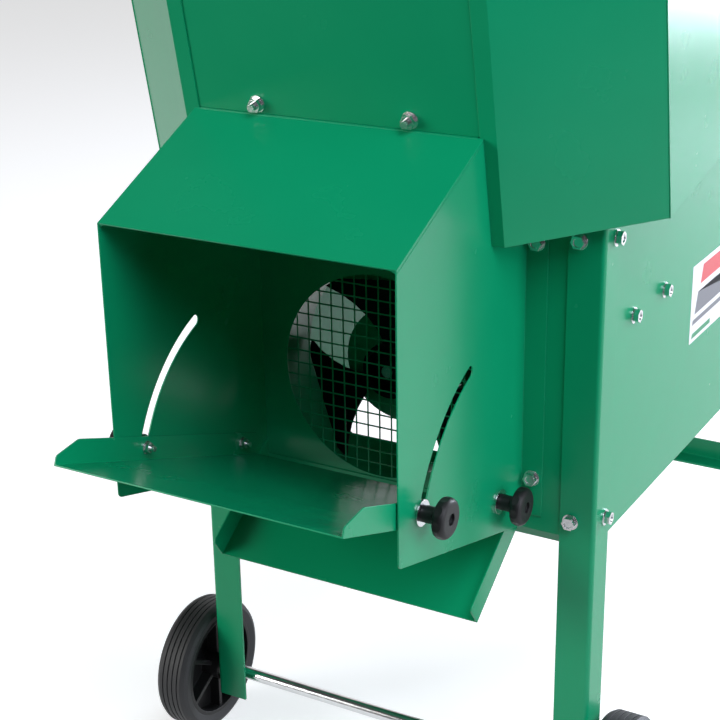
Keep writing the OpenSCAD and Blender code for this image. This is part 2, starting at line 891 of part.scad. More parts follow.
// Duct round the impeller, with a flange that is cut off flat where it stands on the fan floor
module fan_ring() {
    color(green) machine() difference() {
        on_fan(panel_back + mesh_wire) {
            difference() {
                ring(ring_flange_r, duct_r, sheet_t);
                ring_stud_places() translate([0, 0, -1])
                    cylinder(r = ring_stud_d / 2 + bolt_gap, h = sheet_t + 2);
            }
            ring(duct_r + sheet_t, duct_r, duct_l);
        }
        translate([-far / 2, 0, fan_floor_z + sheet_t - far]) cube([far, far, far]);
    }
}

// Studs on the back of the front panel and their nuts
module fan_ring_nuts() {
    color(zinc) machine() on_fan(panel_back) ring_stud_places() {
        cylinder(r = ring_stud_d / 2, h = mesh_wire + sheet_t + ring_nut_h + ring_stud_end);
        translate([0, 0, mesh_wire + sheet_t]) difference() {
            cylinder(r = ring_nut_af / sqrt(3), h = ring_nut_h, $fn = 6);
            translate([0, 0, -1]) cylinder(r = ring_stud_d / 2 + slip, h = ring_nut_h + 2);
        }
    }
}

shoulder_y = motor_foot_y - motor_shoulder;
hub_gap = 1;
shaft_end = 2;
hub_l = shaft_l - hub_gap - shaft_end;
hub_y = shoulder_y - hub_gap - hub_l;
hub_wall = 5;
blade_set = 5;
blade_mid = hub_l / 2 - blade_set;
// Turn at which the impeller stands in the model, in degrees
fan_rest_turn = 29;

// Outline of one blade: its edges spread evenly from the hub to past the tip
blade_outline =
    let (
        root_r = impeller_hub_d / 2 - hub_wall / 2,
        tip_r = impeller_d / 2,
        past_r = tip_r * 1.2,
        spread = (blade_tip_turn - blade_root_turn) / (tip_r - root_r),
        steps = 6,
        edge = [
            for (i = [0 : steps])
                let (r = root_r + (past_r - root_r) * i / steps) [r, blade_root_turn + spread * (r - root_r)]
        ]
    )
    concat(
        [for (p = edge) p[0] * [cos(p[1]), -sin(p[1])]],
        [for (p = backwards(edge)) p[0] * [cos(p[1]), sin(p[1])]]
    );

module impeller() {
    blade_t = 2.5;
    color(black) machine() on_fan(hub_y) difference() {
        union() {
            cylinder(r = impeller_hub_d / 2, h = hub_l);
            intersection() {
                for (i = [0 : impeller_blades - 1]) rotate(fan_rest_turn + i * 360 / impeller_blades)
                    translate([0, 0, blade_mid]) rotate([blade_pitch, 0, 0])
                        linear_extrude(blade_t, center = true) polygon(blade_outline);
                translate([0, 0, -far / 2]) cylinder(r = impeller_d / 2, h = far, $fn = 120);
            }
        }
        translate([0, 0, -1]) {
            cylinder(r = shaft_d / 2 + slip / 2, h = hub_l + 2);
            ring(impeller_hub_d / 2 - hub_wall, shaft_d / 2 + hub_wall + 1, hub_l - hub_wall - 1);
        }
    }
}

// Motor

foot_t = 8;
foot_w = 24;
shaft_step = 0.5;
journal_r = shaft_d / 2 + shaft_step;
bearing_r = 17.5;
bearing_w = 11;
stator_w = 24;
core_r = housing_d / 2 - stator_w;
air_gap = 1.5;
winding_l = 22;
housing_l = motor_foot_y + motor_foot_b + foot_w / 2 + housing_end - shoulder_y - shield_t;
rear_shield_y = shoulder_y + shield_t + housing_l;
cowl_y = rear_shield_y + shield_t;
box_seat_t = 1;
box_seat_x = fan_x + housing_d / 2 + fin_h + box_seat_t;
box_margin = 25;
box_from = shoulder_y + shield_t + box_margin;
box_l = housing_l - 2 * box_margin;

// Shaft and laminated rotor
module rotor() {
    tail_gap = 12;
    tail = cowl_l - tail_gap;
    color(steel) machine() {
        on_fan(shoulder_y - shaft_l) cylinder(r = shaft_d / 2, h = shaft_l);
        on_fan(shoulder_y) cylinder(r = journal_r, h = cowl_y + tail - shoulder_y);
        on_fan(shoulder_y + shield_t + winding_l) cylinder(r = core_r - air_gap, h = housing_l - 2 * winding_l);
    }
}

module motor_bearings() {
    color(zinc) machine() {
        on_fan(shoulder_y + 1) ring(bearing_r, journal_r + slip, bearing_w);
        on_fan(rear_shield_y + shield_t - bearing_w - 1) ring(bearing_r, journal_r + slip, bearing_w);
    }
}

motor_foot_z = fan_z + motor_h;

module stator_housing() {
    foot_x = motor_foot_a / 2 + foot_w / 2;
    pad_reach = 40;
    pad_root = 8;
    pad_from = core_r + pad_root;
    box_seat_h = 60;
    color(green) machine() difference() {
        union() {
            on_fan(shoulder_y + shield_t) linear_extrude(housing_l) difference() {
                union() {
                    circle(r = housing_d / 2);
                    for (i = [0 : fin_count - 1]) rotate((i + 0.5) * 360 / fin_count)
                        translate([0, -1]) square([housing_d / 2 + fin_h, 2]);
                }
                circle(r = core_r);
            }
            for (y = [motor_foot_y, motor_foot_y + motor_foot_b]) {
                translate([fan_x - foot_x, y - foot_w / 2, motor_foot_z - foot_t])
                    cube([2 * foot_x, foot_w, foot_t]);
                translate([fan_x - pad_reach, y - foot_w / 2, fan_z + pad_from])
                    cube([2 * pad_reach, foot_w, motor_h - pad_from - foot_t / 2]);
            }
            translate([fan_x + pad_from, box_from, fan_z - box_seat_h / 2])
                cube([box_seat_x - fan_x - pad_from, box_l, box_seat_h]);
        }
        motor_foot_places() bolt_hole(foot_t + rail_t);
    }
}

module motor_foot_places() {
    for (y = [motor_foot_y, motor_foot_y + motor_foot_b], x = [-motor_foot_a / 2, motor_foot_a / 2])
        translate([fan_x + x, y, motor_foot_z + rail_t]) children();
}

module end_shield(y, bearing_y) {
    difference() {
        on_fan(y) cylinder(r = housing_d / 2 + fin_h, h = shield_t);
        on_fan(bearing_y) cylinder(r = bearing_r, h = bearing_w);
        on_fan(y - 1) cylinder(r = journal_r + 1, h = shield_t + 2);
    }
}

module motor_end_shields() {
    color(green) machine() {
        end_shield(shoulder_y, shoulder_y + 1);
        end_shield(rear_shield_y, rear_shield_y + shield_t - bearing_w - 1);
    }
}

module motor_cowl() {
    cowl_r = housing_d / 2 + fin_h;
    grille_from = 16;
    grille_step = 10;
    slot = 5;
    bar = 6;
    color(green) machine() on_fan(cowl_y) difference() {
        cylinder(r = cowl_r, h = cowl_l);
        translate([0, 0, -1]) cylinder(r = cowl_r - sheet_t, h = cowl_l + 1 - sheet_t);
        translate([0, 0, cowl_l - sheet_t - 1]) linear_extrude(sheet_t + 2)
            for (r = [grille_from : grille_step : cowl_r - 2 * bar]) difference() {
                circle(r = r + slot);
                circle(r = r);
                for (turn = [0, 90]) rotate(turn) square([2 * cowl_r, bar], center = true);
            }
    }
}

module cooling_fan() {
    room = 8;
    fan_r = housing_d / 2 - room;
    fan_l = cowl_l - 3 * room;
    blade_t = 2;
    blades = 8;
    color(black) machine() on_fan(cowl_y + room) difference() {
        union() {
            cylinder(r = journal_r + room, h = fan_l);
            cylinder(r = fan_r, h = blade_t);
            for (i = [0 : blades - 1]) rotate(i * 360 / blades)
                translate([journal_r + 1, -blade_t / 2, 0])
                    cube([fan_r - journal_r - 1, blade_t, fan_l - blade_t]);
        }
        translate([0, 0, -1]) cylinder(r = journal_r + slip / 2, h = fan_l + 2);
    }
}

module terminal_box() {
    wall = 3;
    reach = 38;
    half_h = 36;
    color(black) machine() difference() {
        translate([box_seat_x, box_from, fan_z - half_h]) cube([reach, box_l, 2 * half_h]);
        translate([box_seat_x + wall, box_from + wall, fan_z - half_h + wall])
            cube([reach - 2 * wall, box_l - 2 * wall, 2 * (half_h - wall)]);
    }
}

// Two angles across the body that the motor hangs from by its feet
support_places = [support_y, support_y + support_gap];
support_bolt_rise = 1;
support_bolt_z = motor_foot_z + rail_w / 2 + support_bolt_rise;

module support_bolt_places() {
    for (y = support_places) translate([panel_x, y, support_bolt_z]) facing_side(1) children();
}

module motor_rails() {
    half = inside_x;
    color(green) machine() difference() {
        for (y = support_places) translate([0, y - rail_w / 2, motor_foot_z]) {
            across(-half, 2 * half) polygon([
                [0, 0], [rail_w, 0], [rail_w, rail_t], [rail_t, rail_t], [rail_t, rail_w], [0, rail_w]
            ]);
            both_sides() translate([half - rail_t, 0, 0]) cube([rail_t, rail_w, rail_w]);
        }
        motor_foot_places() bolt_hole(rail_t);
        both_sides() support_bolt_places() bolt_hole(sheet_t + rail_t);
    }
}

// Bolts of the motor feet, and those that hold the rails to the side panels
module motor_bolts() {
    color(zinc) machine() {
        motor_foot_places() flange_bolt(rail_t + foot_t);
        both_sides() support_bolt_places() flange_bolt(sheet_t + rail_t);
    }
}

// Hopper

hopper_outline = [
    [-front_x, 0], [front_x, 0], [hopper_x, hopper_corner],
    [hopper_x, hopper_l], [-hopper_x, hopper_l], [-hopper_x, hopper_corner]
];
// Where the corner sheet passes inside the side wall
corner_lap_v = hopper_corner - sheet_t * hopper_corner / (hopper_x - front_x);

module above_rim() {
    translate([-far / 2, -far / 2, rim_z]) cube([far, far, far]);
}

corner_lap = 22;

module hopper_corner_sheet() {
    path = [
        [throat_x, 0], [front_x, 0],
        [hopper_x - sheet_t, corner_lap_v], [hopper_x - sheet_t, corner_lap_v + corner_lap]
    ];
    difference() {
        on_hopper() linear_extrude(rim_w_at(0) + 1) bent(path, sheet_t);
        above_rim();
    }
}

module hopper_corner_right() { color(green) machine() hopper_corner_sheet(); }
module hopper_corner_left() { color(green) machine() mirror([1, 0, 0]) hopper_corner_sheet(); }

// Sheet across the hopper from v to v + t and from the floor or a higher edge up to the rim
module cross_wall(half, v, t, low) {
    on_hopper() across(-half, 2 * half)
        polygon([[v, low], [v + t, low], [v + t, rim_w_at(v + t)], [v, rim_w_at(v)]]);
}

module hopper_front_wall() {
    color(dark_green) machine() difference() {
        cross_wall(front_x - sheet_t, sheet_t, sheet_t, roof_w + free_gap);
        roof_bolt_places() bolt_hole(4 * sheet_t);
    }
}

module hopper_rear_wall() {
    color(green) machine() cross_wall(hopper_x - sheet_t, hopper_l - sheet_t, sheet_t, 0);
}

module hopper_side() {
    on_hopper() across(hopper_x - sheet_t, sheet_t) polygon([
        [corner_lap_v, 0], [hopper_l, 0],
        [hopper_l, rim_w_at(hopper_l)], [corner_lap_v, rim_w_at(corner_lap_v)]
    ]);
}

module hopper_side_right() { color(green) machine() hopper_side(); }
module hopper_side_left() { color(green) machine() mirror([1, 0, 0]) hopper_side(); }

module hopper_floor() {
    color(green) machine() difference() {
        on_hopper() linear_extrude(sheet_t) difference() {
            polygon(inset(hopper_outline, sheet_t));
            translate([-throat_x, -1]) square([throat_w, throat_l + 1]);
            for (side = [-1, 1]) translate([side * (hopper_x - sheet_t) - sheet_t, corner_lap_v - seam])
                square([2 * sheet_t, corner_lap + 2 * seam]);
        }
        hopper_bolt_places() bolt_hole(4 * sheet_t);
    }
}

// Flat frame welded on the level top edges of the walls
module hopper_rim() {
    rise = (rim_z - hopper_z) * tan(hopper_slope);
    outline = [for (p = hopper_outline) [p[0], p[1] / cos(hopper_slope) - hopper_forward - rise]];
    color(green) machine() translate([0, 0, rim_z]) linear_extrude(sheet_t) difference() {
        polygon(outline);
        polygon(inset(outline, rim_w));
    }
}

module hopper_bolt_places() {
    bolt_x = panel_x - (side_flange_w + sheet_t) / 2;
    end_inset = 30;
    for (side = [-1, 1], y = [side_flange_front + end_inset, side_flange_back - end_inset])
        on_hopper() translate([side * bolt_x, (y + hopper_forward) / cos(hopper_slope), sheet_t]) children();
}

module hopper_bolts() {
    color(zinc) machine() hopper_bolt_places() flange_bolt(2 * sheet_t);
}

// Sliding plate that closes the throat, with a grip along its back edge
gate_x = throat_x + gate_lap;
gate_set = 2;
gate_v = throat_l + gate_set;
gate_w = sheet_t + free_gap;

module feed_gate() {
    hole_w = 90;
    hole_up = 11;
    bar_h = 7;
    color(green) machine() on_hopper() {
        translate([-gate_x, gate_v, gate_w]) cube([2 * gate_x, gate_l, gate_t]);
        translate([-gate_x / 2, gate_v + gate_l - gate_t, gate_w]) difference() {
            cube([gate_x, gate_t, gate_grip_h]);
            translate([(gate_x - hole_w) / 2, -1, hole_up])
                cube([hole_w, gate_t + 2, gate_grip_h - hole_up - bar_h]);
        }
    }
}

// Two rails that hold the gate down on the floor
module gate_guides() {
    guide_t = 2;
    lip = 8;
    end_gap = 4;
    top = gate_w + gate_t + free_gap;
    length = gate_l - 2 * end_gap;
    color(green) machine() on_hopper() both_sides() translate([gate_x + free_gap, gate_v + end_gap, 0]) {
        translate([0, 0, sheet_t]) cube([guide_t, length, top + guide_t - sheet_t]);
        translate([-lip, 0, top]) cube([lip + guide_t, length, guide_t]);
    }
}

// Wheels

wheel_hub_t = 10;
hub_r = axle_r + wheel_hub_t;
spacer_t = 3;
cap_t = 5;
hub_stand = 4;
tyre_from = leg_x + wheel_gap;
hub_from = leg_x + spacer_t + free_gap;
hub_to = tyre_from + tyre_w + hub_stand;

module on_axle(x) {
    translate([x, axle_y, wheel_r]) facing_side(1) children();
}

module axle() {
    half = hub_to + free_gap + cap_t / 2;
    color(zinc) machine() on_axle(-half) cylinder(r = axle_r, h = 2 * half);
}

module wheel() {
    rim_r = wheel_r - tyre_t;
    wall = 5;
    difference() {
        union() {
            on_axle(hub_from) cylinder(r = hub_r, h = hub_to - hub_from);
            on_axle(tyre_from + 2) ring(rim_r, rim_r - wall, tyre_w - 4);
            on_axle(tyre_from + (tyre_w - wall) / 2) cylinder(r = rim_r - wall / 2, h = wall);
            for (i = [0 : spokes - 1]) on_axle(tyre_from + wall) rotate(i * 360 / spokes)
                translate([hub_r - 2, -wall / 2, 0]) cube([rim_r - hub_r, wall, tyre_w - 2 * wall]);
        }
        on_axle(hub_from - 1) cylinder(r = axle_r + slip, h = hub_to - hub_from + 2);
    }
}

module wheel_right() { color(black) machine() wheel(); }
module wheel_left() { color(black) machine() mirror([1, 0, 0]) wheel(); }

module tyre() {
    groove = 1.6;
    side_h = 8;
    round_h = 3;
    round_w = 7;
    taper = 2;
    middle = tyre_from + tyre_w / 2;
    half = [
        [wheel_r - tyre_t, tyre_w / 2 - taper],
        [wheel_r - side_h, tyre_w / 2],
        [wheel_r - round_h, tyre_w / 2 - taper],
        [wheel_r, tyre_w / 2 - round_w]
    ];
    on_axle(middle) difference() {
        rotate_extrude($fn = 120) polygon(concat(half, [for (p = backwards(half)) [p[0], -p[1]]]));
        for (i = [-1.5 : 1.5]) translate([0, 0, i * groove_gap - groove / 2])
            ring(wheel_r + 1, wheel_r - groove, groove);
    }
}

module tyre_right() { color(rubber) machine() tyre(); }
module tyre_left() { color(rubber) machine() mirror([1, 0, 0]) tyre(); }

// Spacers inside and push-on caps outside each wheel
module axle_caps() {
    color(zinc) machine() both_sides() {
        on_axle(leg_x) ring(hub_r - 3, axle_r + slip, spacer_t);
        on_axle(hub_to + free_gap) difference() {
            cylinder(r = axle_r + cap_t, h = cap_t);
            translate([0, 0, -1]) cylinder(r = axle_r + slip, h = cap_t / 2 + 1 + slip);
        }
    }
}

// Handles

handle_x = leg_x + handle_d / 2;
handle_from = body_d - handle_hold;
handle_bolt_front = handle_from + handle_bolt_inset;
handle_bolt_back = body_d - leg_w / 2;

// Places on the outer face of the legs
module handle_bolt_places(y) {
    translate([leg_x, y, handle_z]) facing_side(1) children();
}

module handles() {
    tube_t = 2;
    color(green) machine() both_sides() difference() {
        translate([handle_x, handle_from, handle_z]) facing_back() difference() {
            cylinder(r = handle_d / 2, h = handle_hold + handle_reach - grip_t);
            translate([0, 0, tube_t]) cylinder(r = handle_d / 2 - tube_t, h = handle_hold + handle_reach);
        }
        for (y = [handle_bolt_front, handle_bolt_back])
            handle_bolt_places(y) translate([0, 0, handle_d]) bolt_hole(handle_d);
    }
}

// Bolts of the handles, with spacers where the tubes stand off the side panels
module handle_bolts() {
    grip = handle_d + leg_t + sheet_t;
    color(zinc) machine() both_sides() {
        for (y = [handle_bolt_front, handle_bolt_back])
            handle_bolt_places(y) translate([0, 0, handle_d]) flange_bolt(grip);
        handle_bolt_places(handle_bolt_front) translate([0, 0, -leg_t])
            ring(flange_d / 2, bolt_r + bolt_gap, leg_t);
    }
}

module handle_grips() {
    collar_t = 5;
    collar_h = 3;
    color(black) machine() both_sides()
        translate([handle_x, machine_back, handle_z]) facing_front() difference() {
            union() {
                cylinder(r = handle_d / 2 + grip_t, h = grip_l);
                translate([0, 0, grip_l - collar_t])
                    cylinder(r = handle_d / 2 + grip_t + collar_h, h = collar_t);
            }
            translate([0, 0, grip_t]) cylinder(r = handle_d / 2, h = grip_l);
        }
}

// Switch box with its two buttons and the inlet for the mains lead

switch_wall = 2.5;
button_places = [switch_h * 0.3, switch_h * 0.7];
gland_r = 8;

module on_switch(z) {
    translate([switch_x, rear_y + switch_depth, switch_z + z]) facing_back() children();
}

module switch_box() {
    wall = switch_wall;
    color(grey) machine() difference() {
        translate([switch_x - switch_w / 2, rear_y, switch_z]) cube([switch_w, switch_depth, switch_h]);
        translate([switch_x - switch_w / 2 + wall, rear_y + wall, switch_z + wall])
            cube([switch_w - 2 * wall, switch_depth - 2 * wall, switch_h - 2 * wall]);
        for (z = button_places) on_switch(z) translate([0, 0, -wall - 1])
            cylinder(r = button_d / 2 + slip * 2, h = wall + 2);
        translate([switch_x, rear_y + switch_depth / 2, switch_z - 1]) cylinder(r = gland_r, h = wall + 2);
    }
}

// A button with the collar behind the wall of the box that keeps it in
module button(z) {
    collar_w = 3;
    collar_back = 14;
    stem_back = 10;
    stand = button_travel + 2;
    on_switch(z) {
        translate([0, 0, -stem_back]) cylinder(r = button_d / 2, h = stem_back + stand);
        translate([0, 0, -collar_back])
            cylinder(r = button_d / 2 + collar_w, h = collar_back - switch_wall - free_gap);
    }
}

module start_button() { color(button_green) machine() button(button_places[1]); }
module stop_button() { color(red) machine() button(button_places[0]); }

module cable_gland() {
    thread_l = 8;
    nut_l = 7;
    cap_l = 13;
    rim = 4;
    low = -nut_l - cap_l;
    color(black) machine() translate([switch_x, rear_y + switch_depth / 2, switch_z]) difference() {
        union() {
            translate([0, 0, -nut_l]) cylinder(r = gland_r + rim, h = nut_l, $fn = 6);
            translate([0, 0, low]) cylinder(r1 = gland_r - 1, r2 = gland_r + rim / 2, h = cap_l);
            cylinder(r = gland_r - slip, h = thread_l);
        }
        translate([0, 0, low - 1]) cylinder(r = gland_bore_d / 2, h = thread_l - low + 2);
    }
}

front_hood();
hood_bolts();
deflector_tray();
tray_washers();
tray_nuts();
tray_studs();
knob_front_right();
knob_front_left();
knob_rear_right();
knob_rear_left();
discharge_chute();
front_panel();
mesh_guard();
fan_ring();
fan_ring_nuts();
impeller();
rotor();
motor_bearings();
stator_housing();
motor_end_shields();
motor_cowl();
cooling_fan();
terminal_box();
motor_rails();
motor_bolts();
leg_front_right();
leg_front_left();
leg_rear_right();
leg_rear_left();
leg_bolts();
rear_brace();
rear_feet();
side_panel_right();
side_panel_left();
rear_panel();
fan_floor();
hopper_front_wall();
hopper_corner_right();
hopper_corner_left();
hopper_side_right();
hopper_side_left();
hopper_rear_wall();
hopper_floor();
hopper_rim();
hopper_bolts();
feed_gate();
gate_guides();
axle();
wheel_right();
wheel_left();
tyre_right();
tyre_left();
axle_caps();
handles();
handle_bolts();
handle_grips();
switch_box();
start_button();
stop_button();
cable_gland();
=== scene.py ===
"""Finishes, label, guard wires, lights and camera for a wheeled olive defoliator of green powder-coated steel."""

import json
import math

import bmesh
import bpy
from mathutils import Matrix, Vector


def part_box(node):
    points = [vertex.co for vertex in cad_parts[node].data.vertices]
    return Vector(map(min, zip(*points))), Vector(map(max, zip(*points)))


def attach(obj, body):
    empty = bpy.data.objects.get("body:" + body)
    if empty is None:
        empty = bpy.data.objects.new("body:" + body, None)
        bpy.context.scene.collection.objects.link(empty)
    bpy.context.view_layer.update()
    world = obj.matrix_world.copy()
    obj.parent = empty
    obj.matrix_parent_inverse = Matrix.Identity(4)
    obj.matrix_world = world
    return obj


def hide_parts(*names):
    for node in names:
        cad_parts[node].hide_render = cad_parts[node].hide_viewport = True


bl_info = {
    "name": "Olive defoliator finish",
    "version": (1, 1, 0),
    "blender": (4, 5, 0),
    "location": "View3D > Sidebar > Defoliator",
    "description": "Dresses the olive defoliator in its finishes and sets its stage",
    "category": "Object",
}

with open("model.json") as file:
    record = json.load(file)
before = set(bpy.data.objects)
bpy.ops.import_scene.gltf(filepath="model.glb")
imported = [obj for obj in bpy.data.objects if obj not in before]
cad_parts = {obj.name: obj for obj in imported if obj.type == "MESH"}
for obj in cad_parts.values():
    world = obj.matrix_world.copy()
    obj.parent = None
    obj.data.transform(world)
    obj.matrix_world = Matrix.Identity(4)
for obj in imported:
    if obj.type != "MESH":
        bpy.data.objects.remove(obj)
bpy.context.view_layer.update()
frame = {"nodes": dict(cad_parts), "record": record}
MM = 0.001

# The front face of the legs, from which the photographed camera was measured
LEG_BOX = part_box("leg_front_right")
FRONT_Y = LEG_BOX[0][1]


class FinishSettings(bpy.types.PropertyGroup):
    """Colours and grades of the finishes."""

    paint: bpy.props.FloatVectorProperty(
        name="Paint", description="Colour of the powder coat", subtype="COLOR", size=3, default=(0.002, 0.29, 0.124)
    )
    peel: bpy.props.FloatProperty(
        name="Peel", description="Depth of the powder coat's fine ripple", default=0.00003, unit="LENGTH"
    )
    edge: bpy.props.FloatProperty(
        name="Edge", description="Radius at which sheet edges catch the light", default=0.0007, unit="LENGTH"
    )
    zinc: bpy.props.FloatVectorProperty(
        name="Zinc", description="Colour of the plated fasteners", subtype="COLOR", size=3, default=(0.74, 0.75, 0.76)
    )


class GuardSettings(bpy.types.PropertyGroup):
    """Welded wire in the opening of the front panel."""

    pitch: bpy.props.FloatProperty(
        name="Pitch", description="Distance between the wires", default=0.015, unit="LENGTH"
    )
    wire: bpy.props.FloatProperty(
        name="Wire", description="Diameter of the wires", default=0.0018, unit="LENGTH"
    )


class LabelSettings(bpy.types.PropertyGroup):
    """Plain printed label on the right side panel."""

    front: bpy.props.FloatProperty(
        name="Front", description="Distance of the label behind the front of the legs", default=0.289, unit="LENGTH"
    )
    low: bpy.props.FloatProperty(
        name="Low", description="Height of the lower edge of the label", default=0.5205, unit="LENGTH"
    )
    length: bpy.props.FloatProperty(
        name="Length", description="Length of the label", default=0.24, unit="LENGTH"
    )
    height: bpy.props.FloatProperty(
        name="Height", description="Height of the label", default=0.0965, unit="LENGTH"
    )


class StageSettings(bpy.types.PropertyGroup):
    """Camera, lights and floor."""

    camera_place: bpy.props.FloatVectorProperty(
        name="Camera", description="Place of the camera", subtype="TRANSLATION", size=3,
        default=(0.7991, FRONT_Y - 1.4292, 1.1862),
    )
    yaw: bpy.props.FloatProperty(
        name="Yaw", description="Turn of the camera to the left", subtype="ANGLE", default=math.radians(30.21)
    )
    pitch: bpy.props.FloatProperty(
        name="Pitch", description="Downward tilt of the camera", subtype="ANGLE", default=math.radians(21.01)
    )
    roll: bpy.props.FloatProperty(
        name="Roll", description="Roll of the camera", subtype="ANGLE", default=math.radians(0.98)
    )
    lens: bpy.props.FloatProperty(
        name="Lens", description="Focal length in millimetres on a 36 mm sensor", default=79.97
    )
    floor_side: bpy.props.FloatProperty(
        name="Floor", description="Side of the square floor", default=30.0, unit="LENGTH"
    )
    lamp_power: bpy.props.FloatProperty(
        name="Lamps", description="Power of a lamp of full strength", default=158.0, unit="POWER"
    )
    lamp_range: bpy.props.FloatProperty(
        name="Distance", description="Distance of the lamps from the machine", default=4.0, unit="LENGTH"
    )
    top_light: bpy.props.FloatProperty(
        name="Top light", description="Strength of the soft light from straight above", default=0.28
    )
    low_light: bpy.props.FloatProperty(
        name="Low light", description="Strength of the soft light from the horizon", default=0.03
    )
    floor_bounce: bpy.props.FloatProperty(
        name="Bounce", description="Share of the light that the floor throws back at the machine", default=0.6
    )


def new_group(name, inputs, outputs):
    """Starts a shader node group with its sockets, each given as (name, type, default)."""
    group = bpy.data.node_groups.new(name, "ShaderNodeTree")
    for label, kind, default in inputs:
        socket = group.interface.new_socket(label, in_out="INPUT", socket_type=kind)
        if default is not None:
            socket.default_value = default
    for label, kind in outputs:
        group.interface.new_socket(label, in_out="OUTPUT", socket_type=kind)
    entry = group.nodes.new("NodeGroupInput")
    result = group.nodes.new("NodeGroupOutput")
    return group, entry, result


def patches_group():
    """Soft patches of variation and fine grain, from the object's own coordinates."""
    group, entry, result = new_group(
        "soft_patches",
        [("Patch size", "NodeSocketFloat", 12.0), ("Grain size", "NodeSocketFloat", 900.0)],
        [("Patches", "NodeSocketFloat"), ("Grain", "NodeSocketFloat")],
    )
    nodes, links = group.nodes, group.links
    place = nodes.new("ShaderNodeTexCoord")
    for label, scale_name, detail in (("Patches", "Patch size", 4.0), ("Grain", "Grain size", 2.0)):
        noise = nodes.new("ShaderNodeTexNoise")
        noise.inputs["Detail"].default_value = detail
        links.new(place.outputs["Object"], noise.inputs["Vector"])
        links.new(entry.outputs[scale_name], noise.inputs["Scale"])
        links.new(noise.outputs["Fac"], result.inputs[label])
    return group


def edges_group():
    """Rounded normal of the edges, and a mask of where they catch the light."""
    group, entry, result = new_group(
        "soft_edges",
        [("Width", "NodeSocketFloat", 0.001), ("Amount", "NodeSocketFloat", 0.5)],
        [("Mask", "NodeSocketFloat"), ("Normal", "NodeSocketVector")],
    )
    nodes, links = group.nodes, group.links
    bevel = nodes.new("ShaderNodeBevel")
    bevel.samples = 6
    true_normal = nodes.new("ShaderNodeNewGeometry")
    dot = nodes.new("ShaderNodeVectorMath")
    dot.operation = "DOT_PRODUCT"
    noise = nodes.new("ShaderNodeTexNoise")
    noise.inputs["Scale"].default_value = 60.0
    turned = nodes.new("ShaderNodeMapRange")
    turned.inputs["From Min"].default_value = 1.0
    turned.inputs["From Max"].default_value = 0.85
    spread = nodes.new("ShaderNodeMath")
    spread.operation = "MULTIPLY"
    scaled = nodes.new("ShaderNodeMath")
    scaled.operation = "MULTIPLY"
    links.new(entry.outputs["Width"], bevel.inputs["Radius"])
    links.new(bevel.outputs["Normal"], dot.inputs[0])
    links.new(true_normal.outputs["True Normal"], dot.inputs[1])
    links.new(dot.outputs["Value"], turned.inputs["Value"])
    links.new(turned.outputs["Result"], spread.inputs[0])
    links.new(noise.outputs["Fac"], spread.inputs[1])
    links.new(spread.outputs["Value"], scaled.inputs[0])
    links.new(entry.outputs["Amount"], scaled.inputs[1])
    links.new(scaled.outputs["Value"], result.inputs["Mask"])
    links.new(bevel.outputs["Normal"], result.inputs["Normal"])
    return group


GROUPS = {}


def shared_group(name):
    """The shared node group of that name, built the first time that it is asked for."""
    if name not in GROUPS:
        GROUPS[name] = {"soft_patches": patches_group, "soft_edges": edges_group}[name]()
    return GROUPS[name]


def place_group(material, name, **values):
    """Puts a shared group into a material with this material's own values."""
    node = material.node_tree.nodes.new("ShaderNodeGroup")
    node.node_tree = shared_group(name)
    for label, value in values.items():
        node.inputs[label.replace("_", " ")].default_value = value
    return node


def finish_material(name, colour, shade, rough, metallic=0.0, specular=0.5, bump=0.00004, grain=900.0, wear=0.0,
                    worn_colour=(0.35, 0.36, 0.36), patch=12.0, edge=0.0008):
    """A material whose colour and roughness vary in patches, with fine grain, edges that catch the light, and a
    lighter colour painted along the edges as a painted highlight and as wear.
    """
    material = bpy.data.materials.new(name)
    material.use_nodes = True
    nodes, links = material.node_tree.nodes, material.node_tree.links
    shader = nodes["Principled BSDF"]
    shader.inputs["Metallic"].default_value = metallic
    shader.inputs["Specular IOR Level"].default_value = specular
    patches = place_group(material, "soft_patches", Patch_size=patch, Grain_size=grain)
    edges = place_group(material, "soft_edges", Width=edge, Amount=wear)
    tint = nodes.new("ShaderNodeMix")
    tint.data_type = "RGBA"
    tint.inputs["A"].default_value = (*[c * (1 - shade) for c in colour], 1)
    tint.inputs["B"].default_value = (*[min(1, c * (1 + shade)) for c in colour], 1)
    links.new(patches.outputs["Patches"], tint.inputs["Factor"])
    colour_out = tint.outputs["Result"]
    # Lighter colour along the edges: a painted edge highlight, and wear where edges get rubbed
    if wear > 0:
        worn = nodes.new("ShaderNodeMix")
        worn.data_type = "RGBA"
        worn.inputs["B"].default_value = (*worn_colour, 1)
        links.new(edges.outputs["Mask"], worn.inputs["Factor"])
        links.new(colour_out, worn.inputs["A"])
        colour_out = worn.outputs["Result"]
    links.new(colour_out, shader.inputs["Base Color"])
    roughness = nodes.new("ShaderNodeMapRange")
    roughness.inputs["To Min"].default_value = rough[0]
    roughness.inputs["To Max"].default_value = rough[1]
    links.new(patches.outputs["Patches"], roughness.inputs["Value"])
    links.new(roughness.outputs["Result"], shader.inputs["Roughness"])
    ripple = nodes.new("ShaderNodeBump")
    ripple.inputs["Distance"].default_value = bump
    links.new(patches.outputs["Grain"], ripple.inputs["Height"])
    links.new(edges.outputs["Normal"], ripple.inputs["Normal"])
    links.new(ripple.outputs["Normal"], shader.inputs["Normal"])
    return material


MATERIALS = {}


def finish(name, *values, **named):
    """The finish of that name, made the first time that it is asked for."""
    if name not in MATERIALS:
        MATERIALS[name] = finish_material(name, *values, **named)
    return MATERIALS[name]


def powder_coat(s):
    """The green powder coat of every painted sheet, leg and casting, with its edges painted a lighter green as a
    painted highlight.
    """
    return finish("green_powder_coat", tuple(s.paint), 0.05, (0.22, 0.30), specular=0.36, bump=s.peel, grain=700.0,
                  wear=0.5, worn_colour=(0.03, 0.42, 0.24), edge=s.edge)


def dress_node(name, material):
    """Gives a material to one CAD node."""
    node = frame["nodes"][name]
    node.data.materials.clear()
    node.data.materials.append(material)


